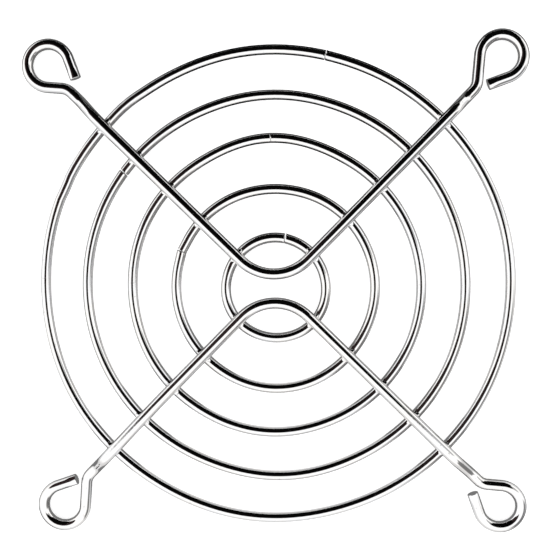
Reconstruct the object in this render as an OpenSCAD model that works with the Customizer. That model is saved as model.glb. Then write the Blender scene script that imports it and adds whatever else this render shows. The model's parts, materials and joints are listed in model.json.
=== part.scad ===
// Wire fan guard: concentric rings of round wire, welded under two bent stays.
// Each stay is one length of heavier wire. It makes a blunt V beside the guard's
// centre, and each of its legs steps down and ends in an open screw eye.
// The origin is the centre of the screw eyes, on the face that they are screwed to.
// +Z points away from the fan, and the stays lie on that side of the rings.

/* [Mounting] */
// Distance between the centres of neighbouring screw eyes
hole_pitch = 71.5; // [70:0.5:80]
// Height of the rings' underside above the mounting face
ring_lift = 0.8; // [0.4:0.1:2]

/* [Rings] */
// Diameter of the wire that the rings are bent from
ring_wire_d = 1.6; // [1.2:0.1:2]
// Centreline diameter of the first ring, the innermost
ring_1_d = 16; // [14.6:0.1:24]
// Centreline diameter of the second ring
ring_2_d = 31.8; // [28:0.1:38]
// Centreline diameter of the third ring
ring_3_d = 46.4; // [42:0.1:52]
// Centreline diameter of the fourth ring
ring_4_d = 60.6; // [56:0.1:66]
// Centreline diameter of the fifth ring, the outermost
ring_5_d = 74.6; // [70:0.1:76]
// Open width of the butt joint where the two ends of a ring meet
seam_gap = 0.2; // [0.1:0.05:0.6]

/* [Ring joints] */
// Bearing of the first ring's butt joint, anticlockwise from +X
ring_1_seam = 78; // [60:1:120]
// Bearing of the second ring's butt joint
ring_2_seam = 158; // [150:1:210]
// Bearing of the third ring's butt joint
ring_3_seam = 91; // [60:1:120]
// Bearing of the fourth ring's butt joint
ring_4_seam = 142; // [142:1:218]
// Bearing of the fifth ring's butt joint
ring_5_seam = 77; // [55:1:125]

/* [Stays] */
// Diameter of the wire that the stays are bent from
stay_wire_d = 1.8; // [1.6:0.1:2.6]
// Clear gap between the two stays, where their bends face each other
apex_gap = 2.8; // [1.5:0.1:5]
// Centreline radius of the bend in the middle of a stay
apex_bend_r = 7.5; // [5:0.1:8.5]
// Amount by which the wire's diameter draws down where it is bent
bend_thinning = 0.01; // [0.01:0.01:0.1]
// Depth to which each weld sets a ring into a stay
weld_depth = 0.2; // [0.05:0.05:0.35]

/* [Steps] */
// Straight wire between the outermost ring and the start of a leg's step
step_shoulder = 0.3; // [0.2:0.1:1]
// Centreline radius of the two bends of a step
step_bend_r = 2; // [1.5:0.1:2.6]
// Straight wire between the foot of the step and the turn before the screw eye
eye_lead = 0.5; // [0.2:0.1:1.2]

/* [Screw eyes] */
// Clear diameter inside a screw eye
eye_id = 5; // [4.4:0.1:5.8]
// Angle that the wire turns aside by, just before its eye
eye_turn = 40; // [35:1:50]
// Centreline radius of that turn
eye_bend_r = 2.4; // [1.6:0.1:3]
// Angle that the wire wraps round the screw
eye_wrap = 246; // [230:1:260]
// Gap left between an eye's cut end and the wire that it curls back to
eye_mouth = 0.4; // [0.2:0.1:1.5]

/* [Hidden] */
$fn = 96;

ring_d = [ring_1_d, ring_2_d, ring_3_d, ring_4_d, ring_5_d];
seam_at = [ring_1_seam, ring_2_seam, ring_3_seam, ring_4_seam, ring_5_seam];

// Heights of the three wire centrelines above the mounting face
ring_z = ring_lift + ring_wire_d / 2;
stay_z = ring_z + ring_wire_d / 2 + stay_wire_d / 2 - weld_depth;
eye_z = stay_wire_d / 2;

// The legs run along the diagonals of the hole square. The middle bend sets their
// lines off the guard's centre, by leg_offset. Distances along a leg count from
// the point of its line that is nearest the centre.
leg_bearing = 45;
apex_y = apex_gap / 2 + stay_wire_d / 2;
leg_offset = apex_bend_r * (1 - cos(leg_bearing)) - apex_y * cos(leg_bearing);
leg_start = (apex_y + apex_bend_r) * sin(leg_bearing);
ring_5_crossing = sqrt(pow(ring_5_d / 2, 2) - pow(leg_offset, 2));
step_start = ring_5_crossing + ring_wire_d / 2 + step_shoulder;
eye_reach = hole_pitch / 2 / cos(leg_bearing);

// A leg steps down between the outermost ring and its screw eye, over whatever run
// is left there, by two equal bends with a straight slope between them
step_drop = stay_z - eye_z;
function slope_length(run) = sqrt(run * run + step_drop * step_drop - 4 * step_bend_r * step_drop);
function slope_angle(run) = atan2(2 * step_bend_r, slope_length(run))
                          - atan2(2 * step_bend_r - step_drop, run);

// Length by which a straight laps over the bend beside it
lap = 0.05;

// The eye: its centreline radius, what its first turn takes off each side of the
// corner, and the straight end that stops short of the wire it faces
eye_r = eye_id / 2 + stay_wire_d / 2;
turn_setback = eye_bend_r * tan(eye_turn / 2);
eye_tail = (eye_id / 2 * (1 - cos(eye_wrap)) - eye_mouth) / -sin(eye_wrap);

// A straight length of stay wire along +X, lapped over the thinner wire of the bends
// at its ends. What follows it starts at its far end.
module straight(length) {
    translate([-lap, 0, 0]) rotate([0, 90, 0]) cylinder(d = stay_wire_d, h = length + 2 * lap);
    translate([length, 0, 0]) children();
}

// A bend of stay wire in the XY plane, to the left for a positive angle and to
// the right for a negative one. What follows it starts at its far end.
module bend(angle, r) {
    hand = sign(angle);
    translate([0, hand * r, 0]) {
        rotate(hand > 0 ? -90 : 90 + angle) bent_wire(abs(angle), r);
        rotate(angle) translate([0, -hand * r, 0]) children();
    }
}

// Wire bent about the Z axis, starting on +X
module bent_wire(angle, r) {
    rotate_extrude(angle = angle) translate([r, 0]) circle(d = stay_wire_d - bend_thinning);
}

// The same bend in the XZ plane: downwards for a positive angle
module dip(angle, r) {
    rotate([-90, 0, 0]) bend(angle, r) rotate([90, 0, 0]) children();
}

// A screw eye, from where its wire leaves the leg's line. The wire turns aside,
// runs on, and wraps the other way round the screw.
module screw_eye(side_offset) {
    bend(eye_turn, eye_bend_r)
    straight((side_offset + eye_r * cos(eye_turn)) / sin(eye_turn) - turn_setback)
    bend(-eye_wrap, eye_r)
    straight(eye_tail - lap);
}

// One leg of a stay, from the end of the middle bend to the end of its eye. side is 1
// for the leg on the +X side and -1 for the other. All the eyes wrap the same way.
module leg(side) {
    side_offset = side * leg_offset;
    eye_start = eye_reach - side_offset / tan(eye_turn) - eye_r / sin(eye_turn) - turn_setback;
    step_run = eye_start - eye_lead - step_start;
    rotate(side * leg_bearing)
    translate([0, -apex_bend_r, 0])
    rotate(side > 0 ? 0 : 180)
    straight(step_start - leg_start)
    dip(slope_angle(step_run), step_bend_r)
    straight(slope_length(step_run))
    dip(-slope_angle(step_run), step_bend_r)
    straight(eye_lead)
    screw_eye(side_offset);
}

// The whole round of a ring, before it is opened at its joint
module ring_wire(d) {
    translate([0, 0, ring_z]) rotate_extrude() translate([d / 2, 0]) circle(d = ring_wire_d);
}

// A ring: one turn of wire, whose ends stop half the gap short of its joint
module ring(d, bearing) {
    opening = 2 * asin(seam_gap / d);
    color("gainsboro")
    translate([0, 0, ring_z])
    rotate(bearing + opening / 2)
    rotate_extrude(angle = 360 - opening) translate([d / 2, 0]) circle(d = ring_wire_d);
}

// A stay, with a shallow seat where each ring is welded to it
module stay() {
    color("silver")
    difference() {
        translate([0, apex_y + apex_bend_r, stay_z]) {
            rotate(-90 - leg_bearing) bent_wire(2 * leg_bearing, apex_bend_r);
            for (side = [1, -1]) leg(side);
        }
        for (d = ring_d) ring_wire(d);
    }
}

module upper_stay() {
    stay();
}

module lower_stay() {
    rotate(180) stay();
}

for (i = [0 : len(ring_d) - 1])
    ring(ring_d[i], seam_at[i]);
upper_stay();
lower_stay();
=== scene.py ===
import json
import math
import random

import bmesh
import bpy
from mathutils import Matrix, Vector


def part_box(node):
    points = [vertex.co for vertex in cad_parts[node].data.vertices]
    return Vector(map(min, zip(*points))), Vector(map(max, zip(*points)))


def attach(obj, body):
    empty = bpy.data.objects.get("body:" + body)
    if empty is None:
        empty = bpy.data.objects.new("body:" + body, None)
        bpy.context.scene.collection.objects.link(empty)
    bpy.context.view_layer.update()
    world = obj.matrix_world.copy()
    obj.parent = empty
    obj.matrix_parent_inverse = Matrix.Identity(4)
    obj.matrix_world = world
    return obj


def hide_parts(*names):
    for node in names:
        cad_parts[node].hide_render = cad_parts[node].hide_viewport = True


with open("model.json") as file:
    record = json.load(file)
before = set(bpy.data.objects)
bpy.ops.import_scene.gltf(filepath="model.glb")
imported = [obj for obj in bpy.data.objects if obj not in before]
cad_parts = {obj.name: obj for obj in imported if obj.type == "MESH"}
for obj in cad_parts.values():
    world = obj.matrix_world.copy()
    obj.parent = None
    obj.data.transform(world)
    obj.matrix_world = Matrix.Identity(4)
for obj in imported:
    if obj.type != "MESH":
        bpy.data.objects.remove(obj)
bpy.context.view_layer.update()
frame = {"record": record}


# the guard's sizes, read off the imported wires
screwEyes = frame["record"]["mounts"][0]["dims"]
ringNames = ["ring_1", "ring_2", "ring_3", "ring_4", "ring_5"]
ringBoxes = {name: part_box(name) for name in ringNames}
ringWireRadius = (ringBoxes["ring_1"][1].z - ringBoxes["ring_1"][0].z) / 2
ringHeight = (ringBoxes["ring_1"][1].z + ringBoxes["ring_1"][0].z) / 2
ringRadii = {name: ringBoxes[name][1].x - ringWireRadius for name in ringNames}
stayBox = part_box("upper_stay")
holePitch = screwEyes["spacing_x_mm"] / 1000
holeRadius = screwEyes["hole_r_mm"] / 1000
stayWireRadius = (stayBox[1].x - holePitch / 2 - holeRadius) / 2
stayHeight = stayBox[1].z - stayWireRadius

stay = {
    "apexRadius": 0.0075,        # bend in the middle of a stay
    "stepShoulder": 0.0003,      # straight wire between the outermost ring and the step
    "stepRadius": 0.002,
    "stepEase": 0.75,            # 0 bends a step at that radius, 1 takes its whole run for the bends
    "eyeLead": 0.0005,           # straight wire between the step and the eye's first turn
    "eyeTurn": 40,               # degrees
    "eyeTurnRadius": 0.0024,
    "eyeWrap": 246,              # degrees round the screw
    "eyeMouth": 0.0004,          # gap left at an eye's cut end
    "facets": 32,                # round the wire
    "cutBevel": 0.00008,
    # where a leg was knocked a little: place, move, reach
    "pushes": {
        "upper_stay": [((-0.0288, 0.0300, 0.0022), (0.00010, 0.0, 0.0), 0.004)],
        "lower_stay": [((-0.0330, -0.0330, 0.0010), (0.00045, 0.0, 0.0), 0.022)],
    },
}


def clearSelection():
    bpy.ops.object.select_all(action="DESELECT")


class Wire:
    # Draws a wire with a disc that is extruded along straights and spun round bends.
    # at and way are where the disc is and which way it faces, run is the length drawn.
    def __init__(self, name, radius, facets, at, way, up):
        clearSelection()
        bpy.ops.mesh.primitive_circle_add(vertices=facets, radius=radius, fill_type="NGON")
        self.piece = bpy.context.active_object
        self.piece.name = name
        self.piece.data.name = name
        self.radius = radius
        layer = self.piece.data.attributes.new("alongWire", "FLOAT_VECTOR", "POINT")
        for index, vertex in enumerate(self.piece.data.vertices):
            layer.data[index].vector = vertex.co
        side = up.cross(way).normalized()
        facing = Matrix((side, way.cross(side), way)).transposed().to_4x4()
        self.piece.matrix_world = Matrix.Translation(at) @ facing
        bpy.ops.object.transform_apply(location=True, rotation=True, scale=True)
        self.start = (at.copy(), way.copy())
        self.at, self.way, self.run, self.sense = at.copy(), way.copy(), 0.0, 1
        bpy.ops.object.mode_set(mode="EDIT")
        bpy.ops.mesh.select_mode(type="FACE")
        bpy.ops.mesh.select_all(action="SELECT")

    def markRun(self):
        # the length along the wire, kept on the newest ring of points for the finish
        body = bmesh.from_edit_mesh(self.piece.data)
        layer = body.verts.layers.float_vector["alongWire"]
        for vertex in body.verts:
            if vertex.select:
                vertex[layer] = Vector((vertex[layer].x, vertex[layer].y, self.run))

    def straight(self, length, steps=1):
        for _ in range(steps):
            bpy.ops.mesh.extrude_region_move(
                TRANSFORM_OT_translate={"value": self.way * (length / steps)})
            self.at = self.at + self.way * (length / steps)
            self.run += self.sense * length / steps
            self.markRun()

    def bend(self, degrees, radius, axis=Vector((0, 0, 1)), step=6):
        steps = max(1, round(abs(degrees) / step))
        hand = math.copysign(1, degrees)
        centre = self.at + axis.cross(self.way) * (hand * radius)
        turn = Matrix.Rotation(math.radians(degrees) / steps, 3, axis)
        for _ in range(steps):
            bpy.ops.mesh.spin(steps=1, angle=-math.radians(degrees) / steps, center=centre, axis=axis)
            self.at = centre + turn @ (self.at - centre)
            self.way = (turn @ self.way).normalized()
            self.run += self.sense * abs(math.radians(degrees)) / steps * radius
            self.markRun()

    def fromStart(self):
        # takes up the disc that the wire began with, facing the other way
        self.pick(lambda face: (face.calc_center_median() - self.start[0]).length < self.radius / 20)
        self.at, self.way = self.start[0].copy(), -self.start[1]
        self.run, self.sense = 0.0, -1

    def pick(self, wanted):
        bpy.ops.mesh.select_all(action="DESELECT")
        body = bmesh.from_edit_mesh(self.piece.data)
        for face in body.faces:
            if len(face.verts) > 4 and wanted(face):
                face.select = True
        body.select_flush(True)
        bmesh.update_edit_mesh(self.piece.data)

    def cutEnd(self, bevel, slant=0.0, shift=Vector((0, 0, 0))):
        # slants, shifts and dresses the end that is in hand. The short length before it
        # keeps the shading of the side square up to the cut.
        self.straight(bevel)
        if slant:
            bpy.ops.transform.rotate(value=math.radians(slant), orient_axis="Z",
                                     orient_type="GLOBAL", center_override=self.at)
        if shift.length:
            bpy.ops.transform.translate(value=shift)
        bpy.ops.mesh.bevel(offset=bevel, segments=2, affect="EDGES")

    def push(self, place, move, reach, falloff="SMOOTH"):
        # pushes the wire aside at a place, less and less until reach away from it
        self.pick(lambda face: False)
        body = bmesh.from_edit_mesh(self.piece.data)
        for face in body.faces:
            face.select = (face.calc_center_median() - place).length < self.radius * 1.3
        body.select_flush(True)
        bmesh.update_edit_mesh(self.piece.data)
        bpy.ops.transform.translate(value=move, use_proportional_edit=True, proportional_size=reach,
                                    proportional_edit_falloff=falloff)

    def finish(self):
        bpy.ops.mesh.select_all(action="SELECT")
        bpy.ops.mesh.normals_make_consistent(inside=False)
        bpy.ops.object.mode_set(mode="OBJECT")
        bpy.ops.object.shade_smooth_by_angle(angle=math.radians(40))
        return self.piece


ringFinish = {
    "facets": 32,
    "steps": 168,
    "cutBevel": 0.00006,
    # bearing of the butt joint, gap, half angle of the flat beside it, slant of the cut,
    # and how far the second end stands off the first
    "ring_1": {"seam": 78, "gap": 0.00016, "flat": 5.0, "slant": 0, "off": (0.0, 0.00014, 0.00005)},
    "ring_2": {"seam": 158, "gap": 0.00012, "flat": 7.5, "slant": 8, "off": (0.00008, 0.0, 0.00010)},
    "ring_3": {"seam": 91, "gap": 0.00012, "flat": 2.0, "slant": -16, "off": (0.0, 0.00003, 0.0)},
    "ring_4": {"seam": 142, "gap": 0.00022, "flat": 1.6, "slant": 4, "off": (0.0, 0.0, 0.00006)},
    "ring_5": {"seam": 77, "gap": 0.00012, "flat": 1.5, "slant": 0, "off": (0.0, 0.00014, 0.00004)},
    # hand-bent rings aren't quite round: bearing, outward push, reach
    "bulges": {
        "ring_1": [(320, 0.00022, 0.010), (150, -0.00018, 0.008)],
        "ring_2": [(90, -0.00020, 0.014), (275, 0.00035, 0.016)],
        "ring_3": [(91, 0.00052, 0.012), (185, -0.00024, 0.018), (265, 0.00020, 0.012)],
        "ring_4": [(0, -0.00016, 0.020), (90, 0.00016, 0.012), (272, 0.00028, 0.014)],
        "ring_5": [(350, -0.00014, 0.018), (95, 0.00018, 0.016), (182, -0.00020, 0.020),
                   (262, 0.00026, 0.018), (153, -0.00010, 0.0016), (128, 0.00012, 0.0035)],
    },
}


def bearingVector(degrees):
    return Vector((math.cos(math.radians(degrees)), math.sin(math.radians(degrees)), 0))


def makeRing(name):
    size = ringFinish[name]
    radius = ringRadii[name]
    flat = radius * math.tan(math.radians(size["flat"])) - size["gap"] / 2 - ringFinish["cutBevel"]
    first = size["seam"] + size["flat"]
    outwards = bearingVector(first)
    way = bearingVector(first + 90)
    wire = Wire("wire_" + name, ringWireRadius, ringFinish["facets"],
                outwards * radius + Vector((0, 0, ringHeight)), way, Vector((0, 0, 1)))
    turn = 360 - 2 * size["flat"]
    wire.bend(turn, radius, step=turn / ringFinish["steps"])
    wire.straight(flat, steps=3)
    wire.cutEnd(ringFinish["cutBevel"], size["slant"], Vector(size["off"]))
    wire.fromStart()
    wire.straight(flat, steps=3)
    wire.cutEnd(ringFinish["cutBevel"], size["slant"])
    for bearing, amount, reach in ringFinish["bulges"][name]:
        outwards = bearingVector(bearing)
        wire.push(outwards * radius + Vector((0, 0, ringHeight)), outwards * amount, reach)
    return wire.finish()


ringPieces = {}
for name in ringNames:
    ringPieces[name] = makeRing(name)
    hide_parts(name)
    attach(ringPieces[name], "root")
print("rings bent:", len(ringPieces))


# what a stay's wire turns through, from the sizes of the guard
apexY = stayBox[0].y + stayWireRadius
diagonal = math.sqrt(0.5)
legOffset = stay["apexRadius"] * (1 - diagonal) - apexY * diagonal
legStart = (apexY + stay["apexRadius"]) * diagonal
outerCrossing = math.sqrt(ringRadii["ring_5"] ** 2 - legOffset ** 2)
stepStart = outerCrossing + ringWireRadius + stay["stepShoulder"]
stepDrop = stayHeight - stayWireRadius
eyeReach = holePitch / 2 / diagonal
eyeRadius = holeRadius + stayWireRadius
eyeTurn = math.radians(stay["eyeTurn"])
turnSetback = stay["eyeTurnRadius"] * math.tan(eyeTurn / 2)
eyeWrap = math.radians(stay["eyeWrap"])
eyeTail = (holeRadius * (1 - math.cos(eyeWrap)) - stay["eyeMouth"]) / -math.sin(eyeWrap)
necks = []                       # where each leg's wire turns aside for its eye


def drawLeg(wire, side):
    sideOffset = side * legOffset
    eyeStart = (eyeReach - sideOffset / math.tan(eyeTurn)
                - eyeRadius / math.sin(eyeTurn) - turnSetback)
    run = eyeStart - stay["eyeLead"] - stepStart
    widest = (run ** 2 + stepDrop ** 2) / (4 * stepDrop)
    radius = stay["stepRadius"] + (widest - stay["stepRadius"]) * stay["stepEase"]
    slope = math.sqrt(run ** 2 + stepDrop ** 2 - 4 * radius * stepDrop)
    angle = math.degrees(math.atan2(2 * radius, slope) - math.atan2(2 * radius - stepDrop, run))
    wire.bend(side * 45, stay["apexRadius"], step=3)
    wire.straight(stepStart - legStart, steps=24)
    across = wire.way.cross(Vector((0, 0, 1)))
    wire.bend(-angle, radius, axis=across, step=4)
    wire.straight(slope, steps=2)
    wire.bend(angle, radius, axis=across, step=4)
    wire.straight(stay["eyeLead"])
    necks.append(wire.at.copy())
    wire.bend(stay["eyeTurn"], stay["eyeTurnRadius"], step=5)
    wire.straight((sideOffset + eyeRadius * math.cos(eyeTurn)) / math.sin(eyeTurn) - turnSetback, steps=4)
    wire.bend(-stay["eyeWrap"], eyeRadius, step=4)
    wire.straight(eyeTail - stay["cutBevel"], steps=2)
    wire.cutEnd(stay["cutBevel"])


def makeStay(name, hand):
    # hand is 1 for the upper stay and -1 for the lower, which is the same half a turn round
    wire = Wire("wire_" + name, stayWireRadius, stay["facets"],
                Vector((0, hand * apexY, stayHeight)), Vector((hand, 0, 0)), Vector((0, 0, 1)))
    drawLeg(wire, 1)
    wire.fromStart()
    drawLeg(wire, -1)
    for place, move, reach in stay["pushes"][name]:
        wire.push(Vector(place), Vector(move), reach)
    return wire.finish()


stayPieces = {}
for name, hand in (("upper_stay", 1), ("lower_stay", -1)):
    stayPieces[name] = makeStay(name, hand)
    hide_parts(name)
    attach(stayPieces[name], "root")
print("stays bent:", len(stayPieces))

welds = {
    "length": 0.00145,           # half lengths of the bead, along the ring, across and up
    "width": 0.00058,
    "height": 0.00030,
    "uneven": 0.00010,
    "waist": 0.75,
}


def makeBead():
    # the metal that the weld squeezes out on each side of the stay, drawn along +X
    clearSelection()
    bpy.ops.mesh.primitive_uv_sphere_add(segments=24, ring_count=14, radius=1)
    bead = bpy.context.active_object
    bpy.ops.object.mode_set(mode="EDIT")
    bpy.ops.mesh.select_mode(type="VERT")
    bpy.ops.transform.rotate(value=math.radians(90), orient_axis="Y", orient_type="GLOBAL",
                             center_override=(0, 0, 0))
    bpy.ops.mesh.select_all(action="DESELECT")
    body = bmesh.from_edit_mesh(bead.data)
    for vertex in body.verts:
        vertex.select = abs(vertex.co.x) < 0.35
    body.select_flush(True)
    bmesh.update_edit_mesh(bead.data)
    bpy.ops.transform.resize(value=(1, welds["waist"], welds["waist"]), orient_type="GLOBAL",
                             center_override=(0, 0, 0))
    bpy.ops.mesh.select_all(action="SELECT")
    bpy.ops.transform.resize(value=(welds["length"], welds["width"], welds["height"]),
                             orient_type="GLOBAL", center_override=(0, 0, 0))
    bpy.ops.object.mode_set(mode="OBJECT")
    return bead


def copyBead(bead, name, place, turn, seed):
    # a copy with its own mesh and its own unevenness
    dice = random.Random(seed)
    copy = bead.copy()
    copy.data = bead.data.copy()
    copy.name = name
    copy.data.name = name
    bpy.context.scene.collection.objects.link(copy)
    clearSelection()
    copy.select_set(True)
    bpy.context.view_layer.objects.active = copy
    copy.scale = (dice.uniform(0.86, 1.05), dice.uniform(0.8, 1.2), dice.uniform(0.8, 1.15))
    copy.rotation_euler = (0, 0, turn + math.radians(dice.uniform(-7, 7)))
    copy.location = place
    bpy.ops.object.transform_apply(location=True, rotation=True, scale=True)
    bpy.ops.object.mode_set(mode="EDIT")
    bpy.ops.mesh.select_all(action="SELECT")
    bpy.ops.transform.vertex_random(offset=welds["uneven"], uniform=0.2, normal=0.8, seed=seed)
    bpy.ops.mesh.vertices_smooth(factor=0.5, repeat=3)
    bpy.ops.object.mode_set(mode="OBJECT")
    bpy.ops.object.shade_smooth()
    return copy


beads = []
bead = makeBead()
for hand in (1, -1):
    for side in (1, -1):
        along = Vector((side, 1, 0)) * (hand * diagonal)
        fromCentre = Vector((-side, 1, 0)) * (-hand * legOffset * diagonal)
        for name in ringNames:
            reach = math.sqrt(ringRadii[name] ** 2 - legOffset ** 2)
            place = fromCentre + along * reach
            turn = math.atan2(place.y, place.x) + math.pi / 2
            place.z = (ringHeight + ringWireRadius + stayHeight - stayWireRadius) / 2
            beads.append(copyBead(bead, "weld_bead_%d" % (len(beads) + 1), place, turn, len(beads) + 11))
            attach(beads[-1], "root")
bpy.data.objects.remove(bead)
print("welds laid:", len(beads))


class Signal:
    # A node's output that takes ordinary arithmetic, each operator being one Math node
    def __init__(self, bench, socket):
        self.bench = bench
        self.socket = socket

    def maths(self, operation, *others):
        return self.bench.lay("ShaderNodeMath", {"operation": operation},
                              dict(enumerate((self,) + others)))

    def __add__(self, other):
        return self.maths("ADD", other)

    def __radd__(self, other):
        return self.maths("ADD", other)

    def __sub__(self, other):
        return self.maths("SUBTRACT", other)

    def __rsub__(self, other):
        return (self * -1) + other

    def __mul__(self, other):
        return self.maths("MULTIPLY", other)

    def __rmul__(self, other):
        return self.maths("MULTIPLY", other)

    def __truediv__(self, other):
        return self.maths("DIVIDE", other)

    def __rtruediv__(self, other):
        return (self ** -1) * other

    def __pow__(self, other):
        return self.maths("POWER", other)

    def __abs__(self):
        return self.maths("ABSOLUTE")

    def least(self, other):
        return self.maths("MINIMUM", other)

    def most(self, other):
        return self.maths("MAXIMUM", other)

    def fade(self, start, end, low=0.0, high=1.0):
        # goes smoothly from low at start to high at end
        return self.bench.lay("ShaderNodeMapRange", {"interpolation_type": "SMOOTHSTEP"},
                              {"Value": self, "From Min": start, "From Max": end,
                               "To Min": low, "To Max": high})


class Bench:
    # One node tree and the nodes laid on it
    def __init__(self, owner):
        owner.use_nodes = True
        self.tree = owner.node_tree
        self.tree.nodes.clear()

    def lay(self, kind, settings=None, sockets=None, out=0):
        node = self.tree.nodes.new(kind)
        for name, value in (settings or {}).items():
            setattr(node, name, value)
        for name, value in (sockets or {}).items():
            if isinstance(value, Signal):
                self.tree.links.new(value.socket, node.inputs[name])
            else:
                node.inputs[name].default_value = value
        if not node.outputs:
            return node
        return Signal(self, node.outputs[out])

    def mix(self, share, first, second):
        return self.lay("ShaderNodeMix", {"data_type": "RGBA"},
                        {0: share, 6: first, 7: second}, out=2)

    def parts(self, vector):
        split = self.lay("ShaderNodeSeparateXYZ", None, {0: vector})
        return [Signal(self, output) for output in split.socket.node.outputs]

    def stretch(self, vector, scale):
        return self.lay("ShaderNodeVectorMath", {"operation": "MULTIPLY"}, {0: vector, 1: scale})

    def away(self, vector, point):
        return self.lay("ShaderNodeVectorMath", {"operation": "DISTANCE"}, {0: vector, 1: point}, out=1)

    def noise(self, vector, scale, detail=2.0, rough=0.5):
        return self.lay("ShaderNodeTexNoise", None,
                        {"Vector": vector, "Scale": scale, "Detail": detail, "Roughness": rough})


platedWire = {
    "colour": (0.86, 0.86, 0.87, 1),
    "warmColour": (0.87, 0.855, 0.84, 1),
    "dullColour": (0.62, 0.61, 0.60, 1),
    "roughness": 0.045,
    "dullRoughness": 0.22,
    "drawLines": 0.0000012,      # depth of the lines that the die leaves
    "waves": 0.000012,           # slow unevenness of the plating
    "grit": 0.0000025,
    "weldGrit": 0.000012,
    "neckMarks": 0.000020,       # depth of the marks that the bending tool leaves
}


def makePlatedWire(name, nearWeld):
    # nearWeld makes a mask from the object position: 1 on a weld, 0 away from it
    finish = bpy.data.materials.new(name)
    bench = Bench(finish)
    along = bench.lay("ShaderNodeAttribute", {"attribute_name": "alongWire"}, out=1)
    place = bench.lay("ShaderNodeTexCoord", out=3)
    lines = bench.noise(bench.stretch(along, (1, 1, 0.012)), 9000, 3.0)
    waves = bench.noise(bench.stretch(along, (1, 1, 0.35)), 900, 1.0)
    grit = bench.noise(place, 4200, 3.0, 0.6)
    spots = bench.noise(place, 1300, 2.0).fade(0.66, 0.74)
    weld = nearWeld(bench, place)
    tint = bench.noise(place, 220, 1.0).fade(0.35, 0.65)
    flecks = bench.noise(place, 2600, 2.0)
    neck = bench.away(place, necks[0]).fade(0.0019, 0.0008)
    for point in necks[1:]:
        neck = neck.most(bench.away(place, point).fade(0.0019, 0.0008))
    marks = bench.noise(place, 1500, 1.5)
    height = (lines * platedWire["drawLines"] + waves * platedWire["waves"]
              + grit * platedWire["grit"] + weld * flecks * platedWire["weldGrit"]
              + neck * marks * platedWire["neckMarks"])
    bump = bench.lay("ShaderNodeBump", None, {"Strength": 1.0, "Distance": 1.0, "Height": height})
    dull = (spots * 0.45).most(weld * flecks.fade(0.50, 0.70) * 0.5)
    colour = bench.mix(tint, platedWire["colour"], platedWire["warmColour"])
    colour = bench.mix(dull, colour, platedWire["dullColour"])
    rough = dull * (platedWire["dullRoughness"] - platedWire["roughness"]) + (
        platedWire["roughness"] + grit.fade(0.4, 0.7) * 0.02)
    shader = bench.lay("ShaderNodeBsdfPrincipled", None, {
        "Base Color": colour, "Metallic": 1.0, "Roughness": rough, "Normal": bump})
    bench.lay("ShaderNodeOutputMaterial", None, {"Surface": shader})
    return finish


def weldMask(bench, place):
    # the legs' lines cross the rings at |x| - |y| = legOffset * sqrt 2, at each ring's radius
    x, y, z = bench.parts(place)
    fromLeg = abs(abs(x) - abs(y) - legOffset / diagonal) * diagonal
    reach = (x * x + y * y) ** 0.5
    fromRing = abs(reach - ringRadii["ring_1"])
    for name in ringNames[1:]:
        fromRing = fromRing.least(abs(reach - ringRadii[name]))
    far = (fromLeg * fromLeg + fromRing * fromRing) ** 0.5
    return far.fade(0.0017, 0.0009) * z.fade(stayHeight + 0.0004, stayHeight - 0.0002, 0.25, 1.0)


ringFinishMaterial = makePlatedWire("plated_ring_wire", weldMask)
stayFinishMaterial = makePlatedWire("plated_stay_wire", weldMask)
for piece in ringPieces.values():
    piece.data.materials.append(ringFinishMaterial)
for piece in stayPieces.values():
    piece.data.materials.append(stayFinishMaterial)
weldFinishMaterial = makePlatedWire("plated_weld", lambda bench, place: 1.0)
for piece in beads:
    piece.data.materials.append(weldFinishMaterial)
print("wires plated")

studio = {
    "floorSize": 6.0,
    "floorDrop": 0.0002,         # leaves room for the sheet that only reflections see
    "floorGlow": 0.55,
    "sheetWhite": 0.78,
    "sheetShade": 0.20,          # painted contact shade on the table near a wire
    # how far from a wire's line that painted contact shade ends, and where it is full
    "closeToRing": (0.0030, 0.0018),
    "closeToLeg": (0.0062, 0.0042),
    "closeToEye": (0.0020, 0.0011),
    "eyeShadeShare": 0.8,
    "shadowBehindRing": (0.0062, 0.0056),   # painted shadow on the table outside a ring, on the far side
    "shadeEdge": 0.0004,
    "tentRadius": 0.60,
    "tentWhite": 1.20,
    "tentDark": (0.002, 0.002, 0.002, 1),
    "tentBrown": (0.030, 0.020, 0.020, 1),
    # the tent's dark opening, in slopes from straight overhead: its near edge, and its two
    # sides, each where it starts and how it leans out
    "openingNear": (-0.19, 0.15, 0.70),   # where it is, where it turns to the right, its rise
    "openingRight": (0.60, 0.60),
    "openingRightFar": (-0.05, 1.15),
    "openingLeft": (0.62, 1.60),
    "openingLeftFar": (1.10, 0.80),
    "openingLow": (1.40, 0.42),  # both sides near the horizon
    "veil": 0.60,                # how dark the strip beside the opening is
    "frontShade": 0.30,          # low on the near side
    "sideShade": 0.80,           # low on the right
}

clearSelection()
bpy.ops.mesh.primitive_plane_add(size=studio["floorSize"], location=(0, 0, -studio["floorDrop"]))
floor = bpy.context.active_object
floor.name = "floor"
floorFinish = bpy.data.materials.new("white_table")
bench = Bench(floorFinish)
place = bench.lay("ShaderNodeTexCoord", out=3)
grain = bench.noise(place, 400, 2.0).fade(0.3, 0.7, 0.90, 0.92)
shade = bench.lay("ShaderNodeCombineColor", None, {0: grain, 1: grain, 2: grain})
shader = bench.lay("ShaderNodeBsdfPrincipled", None, {
    "Base Color": shade, "Roughness": 0.9, "Emission Color": (1, 1, 1, 1),
    "Emission Strength": studio["floorGlow"]})
bench.lay("ShaderNodeOutputMaterial", None, {"Surface": shader})
floor.data.materials.append(floorFinish)

world = bpy.data.worlds.new("studio")
bpy.context.scene.world = world
bench = Bench(world)
glow = bench.lay("ShaderNodeBackground", None, {"Color": (1, 1, 1, 1), "Strength": 1.0})
bench.lay("ShaderNodeOutputWorld", None, {"Surface": glow})


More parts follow.
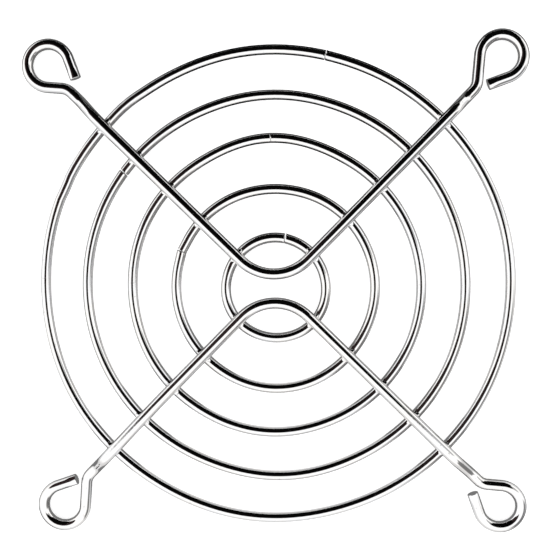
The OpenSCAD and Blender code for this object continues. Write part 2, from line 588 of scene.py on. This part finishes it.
def reflectionsOnly(card):
    for see in ("visible_camera", "visible_diffuse", "visible_transmission", "visible_shadow",
                "visible_volume_scatter"):
        setattr(card, see, False)


def glowing(card, colour, bench, finish):
    glow = bench.lay("ShaderNodeEmission", None, {"Color": colour, "Strength": 1.0})
    bench.lay("ShaderNodeOutputMaterial", None, {"Surface": glow})
    card.data.materials.append(finish)
    finish.cycles.emission_sampling = "NONE"


# a white tent that only the wires reflect, open and dark at the back and overhead
clearSelection()
bpy.ops.mesh.primitive_uv_sphere_add(segments=96, ring_count=48, radius=studio["tentRadius"])
tent = bpy.context.active_object
tent.name = "light_tent"
reflectionsOnly(tent)
tentFinish = bpy.data.materials.new("tent_cloth")
bench = Bench(tentFinish)
place = bench.lay("ShaderNodeTexCoord", out=3)
x, y, z = bench.parts(bench.stretch(place, (1 / studio["tentRadius"],) * 3))
over = z.most(0.02)
across = x / over
back = y / over
rightNear, rightFar = studio["openingRight"], studio["openingRightFar"]
leftNear, leftFar = studio["openingLeft"], studio["openingLeftFar"]
lowSides = studio["openingLow"]
rightSide = (back * rightNear[1] + rightNear[0]).most(back * rightFar[1] + rightFar[0])
rightSide = rightSide.least(back * lowSides[1] + lowSides[0])
leftSide = (back * leftNear[1] + leftNear[0]).least(back * leftFar[1] + leftFar[0])
leftSide = leftSide.least(back * lowSides[1] + lowSides[0])
nearEdge, turnsAt, rise = studio["openingNear"]
opening = (back - (across - turnsAt).most(0) * rise - nearEdge).fade(-0.05, 0.05)
opening = opening * (across - rightSide).fade(0.06, -0.06)
opening = opening * (across + leftSide).fade(-0.08, 0.08)
opening = opening * z.fade(-0.03, 0.05)
# a half dark strip to the right of the opening, high up only
veil = (back - 0.10).fade(-0.15, 0.15) * (across - back * 3.2 - 0.45).fade(0.3, -0.3)
veil = veil * (across - 0.3).fade(0, 0.2) * z.fade(0.40, 0.60)
opening = opening.most(veil * studio["veil"])
front = z.fade(0.50, 0.10) * y.fade(-0.15, -0.6)
side = z.fade(0.66, 0.50) * ((x * 0.82 - y * 0.57) / (1 - z * z).most(0.01) ** 0.5).fade(0.84, 0.95)
level = (1 - opening) * (1 - front * studio["frontShade"]) * (1 - side * studio["sideShade"])
brown = (back * 0.90 + across).fade(0.05, -0.30)
dark = bench.mix(brown, studio["tentDark"], studio["tentBrown"])
level = bench.mix(level, dark, (studio["tentWhite"],) * 3 + (1,))
glowing(tent, level, bench, tentFinish)

# the table as the wires reflect it: a glowing sheet with painted shadow behind each ring and painted
# contact shade near each wire
clearSelection()
bpy.ops.mesh.primitive_plane_add(size=studio["tentRadius"] * 2, location=(0, 0, -studio["floorDrop"] / 2))
sheet = bpy.context.active_object
sheet.name = "table_sheet_painted_shade"
reflectionsOnly(sheet)
sheetFinish = bpy.data.materials.new("table_sheet_painted_shade")
bench = Bench(sheetFinish)
place = bench.lay("ShaderNodeTexCoord", out=3)
x, y, z = bench.parts(place)
reach = (x * x + y * y) ** 0.5
nearLeg = abs(abs(x) - abs(y) - legOffset / diagonal) * diagonal
# the far side of each ring, where the painted shadow lies, weaker near a leg
behind = (y / reach).fade(0.60, 0.85) * nearLeg.fade(0.0040, 0.0062, 0.25, 1.0)
ahead = (y / reach).fade(-0.25, -0.55)
nearRing = abs(reach - ringRadii["ring_1"])
for name in ringNames[1:]:
    outside = reach - ringRadii[name]
    nearRing = nearRing.least(outside.most(outside * -1 * (1 + ahead * 4)))
eyeX = abs(x) - holePitch / 2
eyeY = abs(y) - holePitch / 2
nearEye = abs((eyeX * eyeX + eyeY * eyeY) ** 0.5 - eyeRadius)
# painted contact shade on the table near the rings, legs and eyes, left off the inner side of the near
# rings
nearWireShade = nearRing.fade(*studio["closeToRing"]).most(nearLeg.fade(*studio["closeToLeg"]))
nearWireShade = nearWireShade.most(nearEye.fade(*studio["closeToEye"]) * studio["eyeShadeShare"])
edge = studio["shadeEdge"]
# painted shadow on the table outside each ring, on its far side
shade = (reach - ringRadii["ring_5"]).fade(0.0, edge) * behind
for name in ringNames[:4]:
    outside = reach - ringRadii[name]
    shade = shade + outside.fade(0.0, edge) * outside.fade(*studio["shadowBehindRing"]) * behind
# the sheet's glow with both painted shades taken out of it
level = (1 - shade) * (nearWireShade * (studio["sheetShade"] - studio["sheetWhite"]) + studio["sheetWhite"])
glowing(sheet, bench.mix(level, (0, 0, 0, 1), (1, 1, 1, 1)), bench, sheetFinish)

cameraSetting = {
    "distance": 0.160,
    "tilt": 4.664,
    "pan": -3.141,
    "roll": 0.504,
    "aside": 0.000689,
    "above": 0.001093,
    "lens": 63.76,
}
camera = bpy.data.cameras.new("camera")
camera.lens = cameraSetting["lens"]
camera.sensor_width = 36
camera.clip_start = 0.005
camera.clip_end = 50
look = (Matrix.Rotation(math.radians(cameraSetting["roll"]), 3, "Z")
        @ Matrix.Rotation(math.radians(cameraSetting["pan"]), 3, "Y")
        @ Matrix.Rotation(math.radians(cameraSetting["tilt"]), 3, "X")).transposed()
stand = look @ Vector((cameraSetting["aside"], cameraSetting["above"], cameraSetting["distance"]))
viewer = bpy.data.objects.new("camera", camera)
viewer.matrix_world = Matrix.Translation(stand) @ look.to_4x4()
bpy.context.scene.collection.objects.link(viewer)
bpy.context.scene.camera = viewer
bpy.context.scene.view_settings.view_transform = "Standard"
print("floor, light and camera set")
